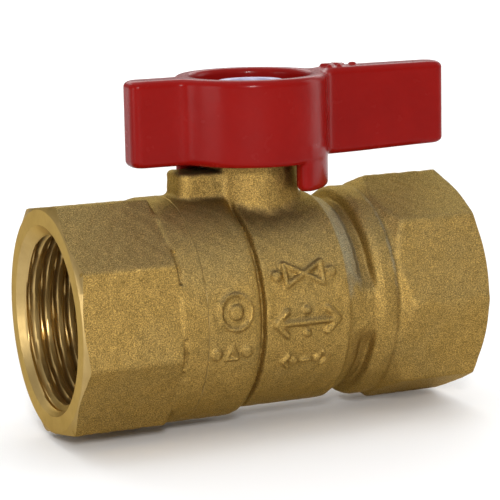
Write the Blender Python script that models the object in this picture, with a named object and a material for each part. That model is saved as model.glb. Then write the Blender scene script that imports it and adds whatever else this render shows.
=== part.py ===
"""Two-piece quarter-turn brass ball valve with threaded ends and a cast T handle.

Frame: the origin is the centre of the ball, where the pipe axis (X) crosses the
stem axis (Z). The separate end connector is on -X, the body's own outlet on +X.
The valve is modelled open, with the long wing of the handle along +X.
All sizes below are millimetres; MM turns them into metres when a mesh is made.
"""
import math

import bmesh
import bpy
from mathutils import Matrix, Vector

MM = 0.001
ROUND = 56              # sides of a large turned surface
ROUND_SMALL = 32        # sides of a stem-sized turned surface
FACET_PHASE = 0.37      # keeps the facets of turned shapes off the octagon's corners
SMOOTH_ANGLE = math.radians(35)
OVERRUN = 2.0           # how far a cutter runs past the face it cuts

# ---- clearances --------------------------------------------------------------
FIT_GAP = 0.3           # between pieces that touch on the real valve
STOP_GAP = 0.15         # left between a stop tab and the lug at the end of travel
CAVITY_GAP = 0.7        # round the ball

# ---- waterway ----------------------------------------------------------------
BALL_R = 12.0
BORE_R = 7.4
WATERWAY_GAP = 0.2
WATERWAY_R = BORE_R + WATERWAY_GAP
CAVITY_R = BALL_R + CAVITY_GAP
HOUSING_WALL = 2.91
HOUSING_R = CAVITY_R + HOUSING_WALL

# ---- seats -------------------------------------------------------------------
SEAT_LIP = 2.5          # radial width of the spherical sealing face
SEAT_INNER_R = BORE_R + 2 * WATERWAY_GAP
SEAT_LIP_R = BORE_R + SEAT_LIP
SEAT_RIM = 1.4          # flat rim of the seat outside its lip
SEAT_R = SEAT_LIP_R + SEAT_RIM
SEAT_THICKNESS = 3.7
SEAT_FRONT_X = math.sqrt((BALL_R + FIT_GAP) ** 2 - SEAT_LIP_R ** 2)
SEAT_BACK_X = SEAT_FRONT_X + SEAT_THICKNESS
POCKET_R = SEAT_R + FIT_GAP
POCKET_X = SEAT_BACK_X + FIT_GAP

# ---- threaded sockets (three-quarter inch taper pipe thread) -----------------
SOCKET_MOUTH_R = 12.6   # thread crest radius at the face
SOCKET_DEPTH = 14.2
SOCKET_TAPER = 1 / 32   # radius change per length
SOCKET_END_R = SOCKET_MOUTH_R - SOCKET_DEPTH * SOCKET_TAPER
SOCKET_CONE = 2.0       # length of the drill cone behind the thread
MOUTH_CHAMFER = 1.1
MOUTH_SLOPE = 1.05      # radial growth of the chamfer per length
MOUTH_CHAMFER_R = SOCKET_MOUTH_R + MOUTH_SLOPE * MOUTH_CHAMFER
INLET_WEB = 5.05        # plain waterway between socket and seat pocket
OUTLET_WEB = 3.5
INLET_FACE_X = -(POCKET_X + INLET_WEB + SOCKET_CONE + SOCKET_DEPTH)
OUTLET_FACE_X = POCKET_X + OUTLET_WEB + SOCKET_CONE + SOCKET_DEPTH

# ---- joint between body and end connector ------------------------------------
TAIL_SET_BACK = 0.9     # connector tail end, behind the inlet seat's front
TAIL_END_X = -(SEAT_FRONT_X + TAIL_SET_BACK)
SEAL_THICKNESS = 0.7
JOINT_STEP_X = TAIL_END_X + SEAL_THICKNESS + 2 * FIT_GAP
JOINT_WIDTH = 0.95      # radial width of the step that the seal rests on
JOINT_R = CAVITY_R + JOINT_WIDTH
TAIL_R = JOINT_R - FIT_GAP
RING_WALL = 2.86
RING_R = JOINT_R + RING_WALL
RING_LENGTH = 8.45
RING_COVER = 1.15       # length of the ring past the joint's step
RING_END_X = JOINT_STEP_X + RING_COVER
SEAM_X = RING_END_X - RING_LENGTH

# ---- outside of the pipe ends -------------------------------------------------
OCTAGON_SIDES = 8
OCTAGON_HALF = math.pi / OCTAGON_SIDES
INLET_RIM = 2.42        # flat of the octagon, outside the mouth chamfer
OUTLET_RIM = 2.12
INLET_FLAT_R = MOUTH_CHAMFER_R + INLET_RIM
INLET_CORNER_R = INLET_FLAT_R / math.cos(OCTAGON_HALF)
INLET_TURN = math.radians(-13.3)   # where the screwed joint happened to stop
OUTLET_FLAT_R = MOUTH_CHAMFER_R + OUTLET_RIM
OUTLET_CORNER_R = OUTLET_FLAT_R / math.cos(OCTAGON_HALF)
COLLAR_LENGTH = 3.9     # round collar on the connector, between flats and seam
COLLAR_START_X = SEAM_X - COLLAR_LENGTH
FACE_CHAMFER = 0.45     # axial length of the turned chamfer on the end faces
FACE_LIP = 0.2          # how far the end chamfer eats into the flats
CORNER_BEVEL = 0.9      # axial length of the slope where octagon corners end
BLANK_MARGIN = 0.05     # turned blank outside the octagon's corners
FLATS_OVERLAP = 0.15    # how far the cut flats run on past the corners

# ---- body between housing and outlet octagon ----------------------------------
GROOVE_WIDTH = 0.7
GROOVE_DEPTH = 0.75
GROOVE_SLOPE = 0.3
RING_SHOULDER = 0.8     # length of the rounded shoulder beside the groove
BAND_SET_BACK = 3.0     # housing's edge, behind the outlet pocket's floor
BAND_X = POCKET_X - BAND_SET_BACK
BAND_LENGTH = 2.45
BAND_DROP = 0.9
NECKING_WIDTH = 1.8
BAND_STEP = 0.35
NECKING_WALL = 2.5
NECKING_R = POCKET_R + NECKING_WALL
COLLAR_STEP = 0.1
COLLAR_R = OUTLET_FLAT_R - COLLAR_STEP
COLLAR_EDGE = 0.9       # length and height of the collar's rounded edges
OUTLET_COLLAR_X = BAND_X + BAND_LENGTH + NECKING_WIDTH
OUTLET_COLLAR_LENGTH = 4.3
OCTAGON_X = OUTLET_COLLAR_X + OUTLET_COLLAR_LENGTH
RIB_HALF_HEIGHT = 4.0   # bridge across the necking at front and back
RIB_DROP = 0.55
RIB_ROOT = 1.5          # how deep the rib is rooted below the necking
RIB_SET_IN = 1.0        # how far it runs into the band and the collar

# ---- stem and stem boss --------------------------------------------------------
SLOT_WIDTH = 3.6
SLOT_WEB = 1.8          # ball wall between the bore and the slot's floor
SLOT_FLOOR_Z = BORE_R + SLOT_WEB
TANG_WIDTH = SLOT_WIDTH - 2 * FIT_GAP
STEM_R = 4.0
TANG_LENGTH = 2 * STEM_R
FLANGE_WIDTH = 1.2
FLANGE_R = STEM_R + FLANGE_WIDTH
FLANGE_THICKNESS = 1.1
BALL_TO_FLANGE = 0.4
FLANGE_Z = BALL_R + BALL_TO_FLANGE
WASHER_THICKNESS = 0.4
WASHER_Z = FLANGE_Z + FLANGE_THICKNESS + FIT_GAP
SHOULDER_Z = WASHER_Z + WASHER_THICKNESS + FIT_GAP
STEM_BORE_R = STEM_R + FIT_GAP
COUNTERBORE_R = FLANGE_R + FIT_GAP
BOSS_WALL = 2.4
BOSS_R = STEM_BORE_R + BOSS_WALL
BOSS_FLARE = 1.6
BOSS_SINK = 0.4         # foot of the flare below the housing's surface
BOSS_RISE = 7.6         # boss top above the housing
BOSS_TOP_Z = HOUSING_R + BOSS_RISE
ORING_GROOVE = 1.7
ORING_SECTION_R = 0.55
ORING_GROOVE_DEPTH = 1.4
ORING_FLOOR_R = STEM_R - ORING_GROOVE_DEPTH
ORING_R = ORING_FLOOR_R + FIT_GAP + ORING_SECTION_R
ORING_FIRST = 2.2       # height of the lower groove above the shoulder
ORING_PITCH = 3.2
ORING_Z = (SHOULDER_Z + ORING_FIRST, SHOULDER_Z + ORING_FIRST + ORING_PITCH)
LUG_HALF_WIDTH = 3.3
HUB_OVERHANG = 4.5      # handle hub beyond the boss
HUB_R = BOSS_R + HUB_OVERHANG
LUG_OVERHANG = 1.5
LUG_TIP_X = -(HUB_R + LUG_OVERHANG)
LUG_RISE = 4.3
LUG_TOP_Z = HOUSING_R + LUG_RISE
LUG_CORNER = 1.5

# ---- handle ----------------------------------------------------------------------
HUB_WALL = 2.4
CUP_R = HUB_R - HUB_WALL
HANDLE_CLEARANCE = 0.5   # handle floor above the boss
LUG_CLEARANCE = 1.1      # lug top to the hub's underside
HUB_BOTTOM_Z = LUG_TOP_Z + LUG_CLEARANCE
RECESS_GAP = 0.6
HUB_RECESS_R = BOSS_R + RECESS_GAP
FLOOR_Z = BOSS_TOP_Z + HANDLE_CLEARANCE
FLOOR_THICKNESS = 3.2
FLOOR_TOP_Z = FLOOR_Z + FLOOR_THICKNESS
HUB_EDGE = 0.9
EDGE_ROUND = 0.3         # share of an edge left at its rounding's middle
WING_HALF = 2.45
WING_EDGE = 0.8
SHORT_WING_LENGTH = 8.1
SHORT_WING_X = -(HUB_R + SHORT_WING_LENGTH)
LONG_WING_LENGTH = 19.8
LONG_WING_X = HUB_R + LONG_WING_LENGTH
WING_CORNER = 1.3
WING_ROOT = 0.6          # half width of the wings' root, as a share of the hub's radius
SHORT_FILLET = 5.0
LONG_FILLET = 2.0
TAB_SET_IN = 0.1         # keeps the tab's surface off the hub's
TAB_R = HUB_R - TAB_SET_IN
TAB_GAP = 0.9            # tab to boss
TAB_INNER_R = BOSS_R + TAB_GAP
TAB_EDGE = 0.8
TAB_OVERLAP = 1.5        # how far a tab reaches up into the hub
TAB_CLEARANCE = 0.35     # tab above the ring
TAB_BOTTOM_Z = RING_R + TAB_CLEARANCE
TAB_SIDE = LUG_HALF_WIDTH + STOP_GAP

# ---- handle fastening --------------------------------------------------------------
DRIVE_STEP = 0.3
DRIVE_R = STEM_R - DRIVE_STEP
DRIVE_FLAT_DEPTH = 1.05  # how far the driving flats are cut into the stem
DRIVE_FLAT = STEM_R - DRIVE_FLAT_DEPTH
SCREW_STEP = 0.05
SCREW_R = DRIVE_FLAT - SCREW_STEP
SCREW_CHAMFER = 0.5
STEM_SINK = 0.5          # how far the drive and the tang reach into the stem
NUT_WALL = 2.1           # between the screw and the nut's flats
NUT_ACROSS_FLATS = 2 * (SCREW_R + NUT_WALL)
LOCK_WASHER_R = NUT_ACROSS_FLATS / 2
LOCK_WASHER_THICKNESS = 0.8
LOCK_WASHER_Z = FLOOR_TOP_Z + FIT_GAP
NUT_HEIGHT = 4.2
NUT_Z = LOCK_WASHER_Z + LOCK_WASHER_THICKNESS + FIT_GAP
NUT_CHAMFER = 0.5
NUT_LIP = 0.1            # how far the nut's end chamfer eats into the flats
SCREW_SUNK = 0.4         # screw end below the nut's top
SCREW_TOP_Z = NUT_Z + NUT_HEIGHT - SCREW_SUNK
NUT_SUNK = 1.2           # nut top below the hub's rim
HUB_TOP_Z = NUT_Z + NUT_HEIGHT + NUT_SUNK
WING_STEP = 0.15
WING_TOP_Z = HUB_TOP_Z + WING_STEP


# ---- scene and materials -------------------------------------------------------------
def clear_scene():
    for old in list(bpy.data.objects):
        bpy.data.objects.remove(old, do_unlink=True)


def make_material(name, colour, roughness, metallic):
    material = bpy.data.materials.new(name)
    material.use_nodes = True
    shader = material.node_tree.nodes["Principled BSDF"]
    shader.inputs["Base Color"].default_value = (*colour, 1.0)
    shader.inputs["Roughness"].default_value = roughness
    shader.inputs["Metallic"].default_value = metallic
    return material


def forged_brass():
    return make_material("forged_brass", (0.42, 0.31, 0.13), 0.45, 1.0)


def machined_brass():
    return make_material("machined_brass", (0.62, 0.48, 0.22), 0.22, 1.0)


def chromed_brass():
    return make_material("chromed_brass", (0.75, 0.76, 0.78), 0.08, 1.0)


def seal_plastic():
    return make_material("seal_plastic", (0.86, 0.86, 0.83), 0.5, 0.0)


def seal_rubber():
    return make_material("seal_rubber", (0.02, 0.02, 0.02), 0.6, 0.0)


def handle_paint():
    return make_material("handle_paint", (0.36, 0.013, 0.011), 0.22, 0.0)


def zinc_plate():
    return make_material("zinc_plate", (0.68, 0.72, 0.78), 0.3, 1.0)


# ---- mesh helpers ----------------------------------------------------------------------
def add_object(name, bm, material=None, origin=(0.0, 0.0, 0.0)):
    """Turn a bmesh in millimetres into an object in metres with its origin set."""
    bmesh.ops.recalc_face_normals(bm, faces=bm.faces)
    bmesh.ops.translate(bm, verts=bm.verts, vec=-Vector(origin))
    bmesh.ops.scale(bm, verts=bm.verts, vec=(MM, MM, MM))
    mesh = bpy.data.meshes.new(name)
    bm.to_mesh(mesh)
    bm.free()
    mesh.shade_smooth()
    mesh.set_sharp_from_angle(angle=SMOOTH_ANGLE)
    item = bpy.data.objects.new(name, mesh)
    item.location = Vector(origin) * MM
    bpy.context.scene.collection.objects.link(item)
    if material:
        mesh.materials.append(material)
    return item


def boolean(target, tool, operation):
    """Add an exact Boolean and hide the tool, which is not a piece of the valve."""
    tool.hide_render = True
    tool.display_type = "WIRE"
    modifier = target.modifiers.new(f"{operation.lower()}_{tool.name}", "BOOLEAN")
    modifier.operation = operation
    modifier.solver = "EXACT"
    modifier.object = tool


def turned(profile, axis, sides):
    """Spin a closed (place along axis, radius) outline; radius 0 closes on the axis."""
    bm = bmesh.new()
    rings = []
    for place, radius in profile:
        steps = 1 if radius == 0 else sides
        ring = []
        for step in range(steps):
            angle = 2 * math.pi * (step + FACET_PHASE) / sides
            across = radius * math.cos(angle)
            along = radius * math.sin(angle)
            if axis == "X":
                ring.append(bm.verts.new((place, across, along)))
            else:
                ring.append(bm.verts.new((across, along, place)))
        rings.append(ring)
    for ring, other in zip(rings, rings[1:] + rings[:1]):
        if len(ring) == 1 and len(other) == 1:
            continue
        for step in range(sides):
            after = (step + 1) % sides
            corners = [ring[step % len(ring)], other[step % len(other)]]
            if len(other) > 1:
                corners.append(other[after])
            if len(ring) > 1:
                corners.append(ring[after])
            bm.faces.new(corners)
    return bm


def prism(outline, low, high, axis):
    """Extrude an outline: (y, z) points along X, or (x, y) points along Z."""
    bm = bmesh.new()
    ring = []
    for first, second in outline:
        place = (low, first, second) if axis == "X" else (first, second, low)
        ring.append(bm.verts.new(place))
    face = bm.faces.new(ring)
    moved = bmesh.ops.extrude_face_region(bm, geom=[face])["geom"]
    lifted = [part for part in moved if isinstance(part, bmesh.types.BMVert)]
    step = (high - low, 0, 0) if axis == "X" else (0, 0, high - low)
    bmesh.ops.translate(bm, verts=lifted, vec=step)
    return bm


def soften_rims(bm, levels, width, segments):
    """Bevel every edge that lies flat at one of the given heights."""
    rims = []
    for edge in bm.edges:
        heights = {round(vert.co.z, 4) for vert in edge.verts}
        if len(heights) == 1 and heights.pop() in {round(level, 4) for level in levels}:
            rims.append(edge)
    bmesh.ops.bevel(bm, geom=rims, offset=width, segments=segments, profile=0.5, affect="EDGES")


def arc(centre, radius, start, end, steps):
    """Points on an arc, from the start angle to the end angle in degrees."""
    points = []
    for step in range(steps + 1):
        angle = math.radians(start + (end - start) * step / steps)
        points.append((centre[0] + radius * math.cos(angle), centre[1] + radius * math.sin(angle)))
    return points


def octagon(corner_radius, turn):
    points = []
    for side in range(OCTAGON_SIDES):
        angle = turn + side * 2 * math.pi / OCTAGON_SIDES
        points.append((-corner_radius * math.cos(angle), corner_radius * math.sin(angle)))
    return points


# ---- housing pieces ------------------------------------------------------------------------
def socket_bore(face_x, inward, waterway_end):
    """Cutter profile: mouth chamfer, tapered thread bore, drill cone and waterway."""
    flare = (MOUTH_CHAMFER_R - SOCKET_MOUTH_R) / MOUTH_CHAMFER
    return [
        (face_x - inward * OVERRUN, 0),
        (face_x - inward * OVERRUN, MOUTH_CHAMFER_R + OVERRUN * flare),
        (face_x + inward * MOUTH_CHAMFER, SOCKET_MOUTH_R),
        (face_x + inward * SOCKET_DEPTH, SOCKET_END_R),
        (face_x + inward * (SOCKET_DEPTH + SOCKET_CONE), WATERWAY_R),
        (waterway_end, WATERWAY_R),
        (waterway_end, 0),
    ]


def wrench_flats(name, flat_radius, turn, low, high):
    """Cutter that leaves an octagonal bar: a thick ring whose hole has eight flat sides."""
    bm = bmesh.new()
    rings = []
    for place, reach in ((low, 1), (high, 1), (high, 2), (low, 2)):
        corners = octagon(reach * flat_radius / math.cos(OCTAGON_HALF), turn)
        rings.append([bm.verts.new((place, across, along)) for across, along in corners])
    for ring, other in zip(rings, rings[1:] + rings[:1]):
        for side in range(OCTAGON_SIDES):
            after = (side + 1) % OCTAGON_SIDES
            bm.faces.new((ring[side], other[side], other[after], ring[after]))
    return add_object(name, bm)


def end_connector():
    blank_radius = INLET_CORNER_R + BLANK_MARGIN
    outline = [
        (INLET_FACE_X, 0),
        (INLET_FACE_X, INLET_FLAT_R - FACE_LIP),
        (INLET_FACE_X + FACE_CHAMFER, blank_radius),
        (COLLAR_START_X - CORNER_BEVEL, blank_radius),
        (COLLAR_START_X, RING_R),
        (SEAM_X - FIT_GAP, RING_R),
        (SEAM_X - FIT_GAP, TAIL_R),
        (TAIL_END_X, TAIL_R),
        (TAIL_END_X, 0),
    ]
    connector = add_object("end_connector", turned(outline, "X", ROUND), forged_brass())
    flats = wrench_flats("inlet_flats", INLET_FLAT_R, INLET_TURN,
                         INLET_FACE_X - OVERRUN, COLLAR_START_X + FLATS_OVERLAP)
    boolean(connector, flats, "DIFFERENCE")
    bore = socket_bore(INLET_FACE_X, 1, -POCKET_X)[:-1]
    bore += [(-POCKET_X, POCKET_R), (TAIL_END_X + OVERRUN, POCKET_R), (TAIL_END_X + OVERRUN, 0)]
    boolean(connector, add_object("inlet_bore", turned(bore, "X", ROUND)), "DIFFERENCE")


def body_outline():
    band_end = BAND_X + BAND_LENGTH
    groove_end = RING_END_X + GROOVE_WIDTH
    blank_radius = OUTLET_CORNER_R + BLANK_MARGIN
    return [
        (SEAM_X, 0),
        (SEAM_X, RING_R),
        (RING_END_X - RING_SHOULDER, RING_R),
        (RING_END_X, HOUSING_R),
        (RING_END_X, HOUSING_R - GROOVE_DEPTH),
        (groove_end, HOUSING_R - GROOVE_DEPTH),
        (groove_end + GROOVE_SLOPE, HOUSING_R),
        (BAND_X, HOUSING_R),
        (BAND_X, HOUSING_R - BAND_STEP),
        (band_end, HOUSING_R - BAND_DROP),
        (band_end, NECKING_R),
        (OUTLET_COLLAR_X, NECKING_R),
        (OUTLET_COLLAR_X, COLLAR_R - COLLAR_EDGE / 2),
        (OUTLET_COLLAR_X + COLLAR_EDGE, COLLAR_R),
        (OCTAGON_X - COLLAR_EDGE, COLLAR_R),
        (OCTAGON_X, COLLAR_R - COLLAR_EDGE / 2),
        (OCTAGON_X + CORNER_BEVEL, blank_radius),
        (OUTLET_FACE_X - FACE_CHAMFER, blank_radius),
        (OUTLET_FACE_X, OUTLET_FLAT_R - FACE_LIP),
        (OUTLET_FACE_X, 0),
    ]


def stem_boss():
    """Round boss about the stem axis, flared where it meets the housing."""
    flare_r = BOSS_R + BOSS_FLARE
    flare_z = math.sqrt(HOUSING_R ** 2 - flare_r ** 2) - BOSS_SINK
    root_z = FLANGE_Z - OVERRUN
    outline = [
        (root_z, 0),
        (root_z, flare_r),
        (flare_z, flare_r),
        (flare_z + BOSS_FLARE / 2, BOSS_R + BOSS_FLARE / 3),
        (flare_z + BOSS_FLARE, BOSS_R),
        (BOSS_TOP_Z, BOSS_R),
        (BOSS_TOP_Z, 0),
    ]
    return add_object("boss", turned(outline, "Z", ROUND_SMALL))


def stop_lug():
    """Lug from the boss along -X, which both stop tabs of the handle run against."""
    tip = LUG_TIP_X + LUG_CORNER
    side = LUG_HALF_WIDTH - LUG_CORNER
    outline = [(0, LUG_HALF_WIDTH)]
    outline += arc((tip, side), LUG_CORNER, 90, 180, 4)
    outline += arc((tip, -side), LUG_CORNER, 180, 270, 4)
    outline += [(0, -LUG_HALF_WIDTH)]
    return add_object("lug", prism(outline, CAVITY_R + FLANGE_THICKNESS, LUG_TOP_Z, "Z"))


def necking_rib(name, side):
    """Bridge across the necking, flush with the band, at the front or the back."""
    reach = HOUSING_R - RIB_DROP
    root = NECKING_R - RIB_ROOT
    outline = [
        (side * root, -RIB_HALF_HEIGHT),
        (side * math.sqrt(reach ** 2 - RIB_HALF_HEIGHT ** 2), -RIB_HALF_HEIGHT),
        (side * reach, 0),
        (side * math.sqrt(reach ** 2 - RIB_HALF_HEIGHT ** 2), RIB_HALF_HEIGHT),
        (side * root, RIB_HALF_HEIGHT),
    ]
    return add_object(name, prism(outline, BAND_X + RIB_SET_IN, OUTLET_COLLAR_X + RIB_SET_IN, "X"))


def body_bore():
    """Everything hollow along the pipe axis: joint, ball cavity, seat pocket and outlet."""
    outline = [
        (SEAM_X - OVERRUN, 0),
        (SEAM_X - OVERRUN, JOINT_R),
        (JOINT_STEP_X, JOINT_R),
        (JOINT_STEP_X, CAVITY_R),
        (SEAT_FRONT_X - FIT_GAP, CAVITY_R),
        (SEAT_FRONT_X - FIT_GAP, POCKET_R),
        (POCKET_X, POCKET_R),
    ]
    outlet = socket_bore(OUTLET_FACE_X, -1, POCKET_X)[:-1]
    return add_object("body_bore", turned(outline + outlet[::-1], "X", ROUND))


def stem_bore():
    outline = [
        (0, 0),
        (0, COUNTERBORE_R),
        (SHOULDER_Z, COUNTERBORE_R),
        (SHOULDER_Z, STEM_BORE_R),
        (BOSS_TOP_Z + OVERRUN, STEM_BORE_R),
        (BOSS_TOP_Z + OVERRUN, 0),
    ]
    return add_object("stem_bore", turned(outline, "Z", ROUND_SMALL))


def valve_body():
    body = add_object("valve_body", turned(body_outline(), "X", ROUND), forged_brass())
    flats = wrench_flats("outlet_flats", OUTLET_FLAT_R, 0.0,
                         OCTAGON_X - FLATS_OVERLAP, OUTLET_FACE_X + OVERRUN)
    boolean(body, flats, "DIFFERENCE")
    boolean(body, stem_boss(), "UNION")
    boolean(body, stop_lug(), "UNION")
    boolean(body, necking_rib("front_rib", -1), "UNION")
    boolean(body, necking_rib("back_rib", 1), "UNION")
    boolean(body, body_bore(), "DIFFERENCE")
    boolean(body, stem_bore(), "DIFFERENCE")


def seat_ring(name, side):
    """Seat with a spherical face to the ball, on the inlet (-1) or outlet (+1) side."""
    reach = BALL_R + FIT_GAP
    outline = [(side * SEAT_BACK_X, SEAT_INNER_R), (side * SEAT_BACK_X, SEAT_R)]
    outline += [(side * SEAT_FRONT_X, SEAT_R)]
    steps = 4
    for step in range(steps + 1):
        radius = SEAT_LIP_R + (SEAT_INNER_R - SEAT_LIP_R) * step / steps
        outline.append((side * math.sqrt(reach ** 2 - radius ** 2), radius))
    add_object(name, turned(outline, "X", ROUND), seal_plastic())


def body_joint_seal():
    low = TAIL_END_X + FIT_GAP
    high = low + SEAL_THICKNESS
    outline = [(low, CAVITY_R), (low, TAIL_R), (high, TAIL_R), (high, CAVITY_R)]
    add_object("body_joint_seal", turned(outline, "X", ROUND), seal_plastic())


# ---- ball and stem -----------------------------------------------------------------------------
def ball():
    """Bored sphere with a slot across its top for the stem's tang."""
    flat_x = math.sqrt(BALL_R ** 2 - BORE_R ** 2)
    outline = []
    steps = 14
    end_angle = math.degrees(math.atan2(BORE_R, flat_x))
    for x, radius in arc((0, 0), BALL_R, 180 - end_angle, end_angle, steps):
        outline.append((x, radius))
    item = add_object("ball", turned(outline, "X", ROUND), chromed_brass())
    half = SLOT_WIDTH / 2
    slot = [(-half, -BALL_R), (half, -BALL_R), (half, BALL_R), (-half, BALL_R)]
    cutter = add_object("ball_slot", prism(slot, SLOT_FLOOR_Z, BALL_R + OVERRUN, "Z"))
    boolean(item, cutter, "DIFFERENCE")


def double_flat(radius, half_flat, steps):
    """Circle with two flats, which face +X and -X."""
    edge = math.degrees(math.acos(half_flat / radius))
    outline = arc((0, 0), radius, edge, 180 - edge, steps)
    outline += arc((0, 0), radius, 180 + edge, 360 - edge, steps)
    return outline


def stem():
    outline = [(FLANGE_Z, 0), (FLANGE_Z, FLANGE_R)]
    outline += [(FLANGE_Z + FLANGE_THICKNESS, FLANGE_R), (FLANGE_Z + FLANGE_THICKNESS, STEM_R)]
    for centre in ORING_Z:
        low = centre - ORING_GROOVE / 2
        high = centre + ORING_GROOVE / 2
        outline += [(low, STEM_R), (low, ORING_FLOOR_R), (high, ORING_FLOOR_R), (high, STEM_R)]
    outline += [(BOSS_TOP_Z, STEM_R), (BOSS_TOP_Z, SCREW_R)]
    outline += [(SCREW_TOP_Z - SCREW_CHAMFER, SCREW_R)]
    outline += [(SCREW_TOP_Z, SCREW_R - SCREW_CHAMFER), (SCREW_TOP_Z, 0)]
    item = add_object("stem", turned(outline, "Z", ROUND_SMALL), machined_brass())
    drive_top = FLOOR_TOP_Z - WATERWAY_GAP
    drive = prism(double_flat(DRIVE_R, DRIVE_FLAT, 8), BOSS_TOP_Z - STEM_SINK, drive_top, "Z")
    boolean(item, add_object("stem_drive", drive), "UNION")
    half = TANG_WIDTH / 2
    reach = TANG_LENGTH / 2
    tang = [(-half, -reach), (half, -reach), (half, reach), (-half, reach)]
    tang_bottom = SLOT_FLOOR_Z + FIT_GAP
    boolean(item, add_object("stem_tang", prism(tang, tang_bottom, FLANGE_Z + STEM_SINK, "Z")), "UNION")


def stem_thrust_washer():
    top = WASHER_Z + WASHER_THICKNESS
    outline = [(WASHER_Z, STEM_BORE_R), (WASHER_Z, FLANGE_R), (top, FLANGE_R), (top, STEM_BORE_R)]
    add_object("stem_thrust_washer", turned(outline, "Z", ROUND_SMALL), seal_plastic())


def stem_o_ring(name, height):
    outline = []
    for radius, place in arc((ORING_R, height), ORING_SECTION_R, 0, 360, 8)[:-1]:
        outline.append((place, radius))
    add_object(name, turned(outline, "Z", ROUND_SMALL), seal_rubber())


# ---- handle and its fastening ----------------------------------------------------------------------
def wing_outline(tip, fillet):
    """Half-plane outline of one wing: round tip corners, fillets tangent to the hub."""
    way = 1 if tip > 0 else -1
    centre_y = WING_HALF + fillet
    centre_x = math.sqrt((HUB_R + fillet) ** 2 - centre_y ** 2)
    turn = math.degrees(math.atan2(centre_y, centre_x))
    corner_x = abs(tip) - WING_CORNER
    upper = [(0, WING_ROOT * HUB_R)]
    upper += arc((centre_x, centre_y), fillet, 180 + turn, 270, 6)
    upper += arc((corner_x, WING_HALF - WING_CORNER), WING_CORNER, 90, 0, 4)
    lower = [(x, -y) for x, y in upper[::-1]]
    return [(way * x, y) for x, y in upper + lower]


def stop_tab(name, turn):
    """Quarter-ring tab under the hub; its sides are parallel to the lug's faces at the stops."""
    outline = []
    for radius, forward in ((TAB_R, True), (TAB_INNER_R, False)):
        edge = math.degrees(math.asin(TAB_SIDE / radius))
        first, last = (edge, 90 - edge) if forward else (90 - edge, edge)
        outline += arc((0, 0), radius, first, last, 8)
    bm = prism(outline, TAB_BOTTOM_Z, HUB_BOTTOM_Z + TAB_OVERLAP, "Z")
    soften_rims(bm, [TAB_BOTTOM_Z], TAB_EDGE, 2)
    bmesh.ops.rotate(bm, verts=bm.verts, matrix=Matrix.Rotation(math.radians(turn), 3, "Z"))
    return add_object(name, bm)


def t_handle():
    outline = [
        (HUB_BOTTOM_Z, 0),
        (HUB_BOTTOM_Z, HUB_R - HUB_EDGE),
        (HUB_BOTTOM_Z + HUB_EDGE * EDGE_ROUND, HUB_R - HUB_EDGE * EDGE_ROUND),
        (HUB_BOTTOM_Z + HUB_EDGE, HUB_R),
        (HUB_TOP_Z - HUB_EDGE, HUB_R),
        (HUB_TOP_Z - HUB_EDGE * EDGE_ROUND, HUB_R - HUB_EDGE * EDGE_ROUND),
        (HUB_TOP_Z, HUB_R - HUB_EDGE),
        (HUB_TOP_Z, 0),
    ]
    handle = add_object("t_handle", turned(outline, "Z", ROUND), handle_paint())
    for name, tip, fillet in (("short_wing", SHORT_WING_X, SHORT_FILLET),
                              ("long_wing", LONG_WING_X, LONG_FILLET)):
        bottom = HUB_BOTTOM_Z + WING_STEP
        bm = prism(wing_outline(tip, fillet), bottom, WING_TOP_Z, "Z")
        soften_rims(bm, [bottom, WING_TOP_Z], WING_EDGE, 2)
        boolean(handle, add_object(name, bm), "UNION")
    cup = [(FLOOR_TOP_Z, 0), (FLOOR_TOP_Z, CUP_R), (WING_TOP_Z + OVERRUN, CUP_R)]
    cup += [(WING_TOP_Z + OVERRUN, 0)]
    boolean(handle, add_object("cup", turned(cup, "Z", ROUND)), "DIFFERENCE")
    recess = [(HUB_BOTTOM_Z - OVERRUN, 0), (HUB_BOTTOM_Z - OVERRUN, HUB_RECESS_R)]
    recess += [(FLOOR_Z, HUB_RECESS_R), (FLOOR_Z, 0)]
    boolean(handle, add_object("hub_recess", turned(recess, "Z", ROUND)), "DIFFERENCE")
    for name, turn in (("open_tab", 90), ("shut_tab", -90)):
        boolean(handle, stop_tab(name, turn), "UNION")
    hole = double_flat(DRIVE_R + FIT_GAP, DRIVE_FLAT + FIT_GAP, 8)
    cutter = prism(hole, FLOOR_Z - OVERRUN, FLOOR_TOP_Z + OVERRUN, "Z")
    boolean(handle, add_object("drive_hole", cutter), "DIFFERENCE")


def handle_lock_washer():
    top = LOCK_WASHER_Z + LOCK_WASHER_THICKNESS
    inner = SCREW_R + FIT_GAP
    outline = [(LOCK_WASHER_Z, inner), (LOCK_WASHER_Z, LOCK_WASHER_R), (top, LOCK_WASHER_R)]
    outline += [(top, inner)]
    add_object("handle_lock_washer", turned(outline, "Z", ROUND_SMALL), zinc_plate())


def handle_nut():
    corner = NUT_ACROSS_FLATS / math.sqrt(3)
    hexagon = [(corner * math.cos(math.radians(60 * side)), corner * math.sin(math.radians(60 * side)))
               for side in range(6)]
    top = NUT_Z + NUT_HEIGHT
    blank = prism(hexagon, NUT_Z - OVERRUN, top + OVERRUN, "Z")
    nut = add_object("handle_nut", blank, zinc_plate())
    inner = SCREW_R + FIT_GAP
    rounding = NUT_ACROSS_FLATS / 2 - NUT_LIP
    reach = corner + NUT_LIP
    envelope = [(NUT_Z, inner), (NUT_Z, rounding), (NUT_Z + NUT_CHAMFER, reach)]
    envelope += [(top - NUT_CHAMFER, reach), (top, rounding), (top, inner)]
    boolean(nut, add_object("nut_envelope", turned(envelope, "Z", ROUND_SMALL)), "INTERSECT")


def main():
    clear_scene()
    valve_body()
    end_connector()
    seat_ring("seat_ring_inlet", -1)
    seat_ring("seat_ring_outlet", 1)
    body_joint_seal()
    ball()
    stem()
    stem_thrust_washer()
    stem_o_ring("stem_o_ring_lower", ORING_Z[0])
    stem_o_ring("stem_o_ring_upper", ORING_Z[1])
    t_handle()
    handle_lock_washer()
    handle_nut()


main()
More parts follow.
